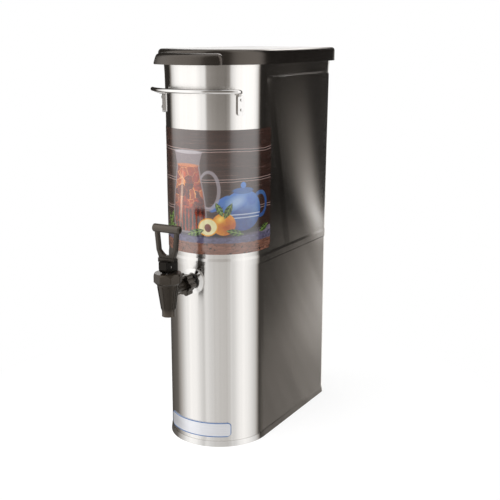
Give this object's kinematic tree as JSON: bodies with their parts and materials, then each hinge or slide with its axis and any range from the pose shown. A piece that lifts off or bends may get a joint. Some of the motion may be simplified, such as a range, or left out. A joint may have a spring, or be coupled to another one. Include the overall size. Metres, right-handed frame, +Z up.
{
  "type": "iced tea dispenser",
  "caption": "Tall narrow stainless drink dispenser with a half round front, a black lever tap, a lift-off lid, a front wire handle and a printed panel.",
  "frame": {"origin": "on the counter, at the centre of the whole object's bounding box seen from above", "axes": "+Z up; -Y towards the user, where the tap is; +X to the right seen from the user's side facing the tap"},
  "size_m": [0.164, 0.3767, 0.5538],
  "materials": {
    "shell_steel": "vertically brushed stainless sheet",
    "skirt_steel": "vertically brushed stainless sheet",
    "inner_steel": "plain stainless sheet",
    "bright_trim": "polished stainless",
    "bright_wire": "polished stainless wire",
    "strap_steel": "satin stainless strip",
    "lid_black": "fine satin moulding",
    "decal_print": "printed vinyl, semi gloss",
    "badge_silver": "satin metallic plate with a blue line round its edge",
    "seal_rubber": "soft black rubber",
    "cup_rubber": "translucent pale silicone",
    "fitting_black": "glossy black moulding",
    "tap_black": "satin black moulding",
    "handle_black": "black moulding, satin at the grip and glossy at the foot",
    "valve_steel": "turned stainless"
  },
  "bodies": {
    "vessel": {"vessel_shell": "shell_steel", "base_skirt": "skirt_steel", "sump_wall": "inner_steel", "sump_floor": "inner_steel", "base_band": "bright_trim", "bail_handle": "bright_wire", "bail_strap_left": "strap_steel", "bail_strap_right": "strap_steel", "strap_studs": "strap_steel", "decal_panel": "decal_print", "badge_plate": "badge_silver", "seat_ring": "bright_trim", "outer_gasket": "seal_rubber", "inner_gasket": "seal_rubber", "bonnet_seal": "seal_rubber", "lock_nut": "fitting_black", "tap_body": "tap_black"},
    "lid": {"lid": "lid_black"},
    "jam_nut": {"jam_nut": "fitting_black"},
    "bonnet": {"bonnet": "tap_black", "valve_spring": "valve_steel"},
    "stem": {"valve_stem": "valve_steel", "seat_cup": "cup_rubber"},
    "handle": {"tap_handle": "handle_black", "handle_pin": "valve_steel"}
  },
  "joints": [
    {"name": "lid_lift", "type": "slide", "parent": "vessel", "child": "lid", "axis": [0, 0, 1], "range_m": [0, 0.12]},
    {"name": "jam_nut_turn", "type": "hinge", "parent": "vessel", "child": "jam_nut", "pos_m": [0, -0.12275, 0.242], "axis": [0, -1, 0], "range_deg": [0, 360]},
    {"name": "bonnet_turn", "type": "hinge", "parent": "vessel", "child": "bonnet", "pos_m": [0, -0.16935, 0.2673], "axis": [0, 0, 1], "range_deg": [0, 180]},
    {"name": "stem_lift", "type": "slide", "parent": "bonnet", "child": "stem", "axis": [0, 0, 1], "range_m": [0, 0.00275], "stiffness_N_per_m": 5, "springref_m": 0.0569, "deforming": ["valve_spring"]},
    {"name": "handle_tilt", "type": "hinge", "parent": "stem", "child": "handle", "pos_m": [0, -0.16935, 0.2753], "axis": [1, 0, 0], "range_deg": [0, 35], "stiffness_Nm_per_rad": 0.25, "springref_deg": -20.05}
  ],
  "couplings": [
    {"joint": "stem_lift", "follows": "handle_tilt", "m_per_rad": 0.0045}
  ]
}
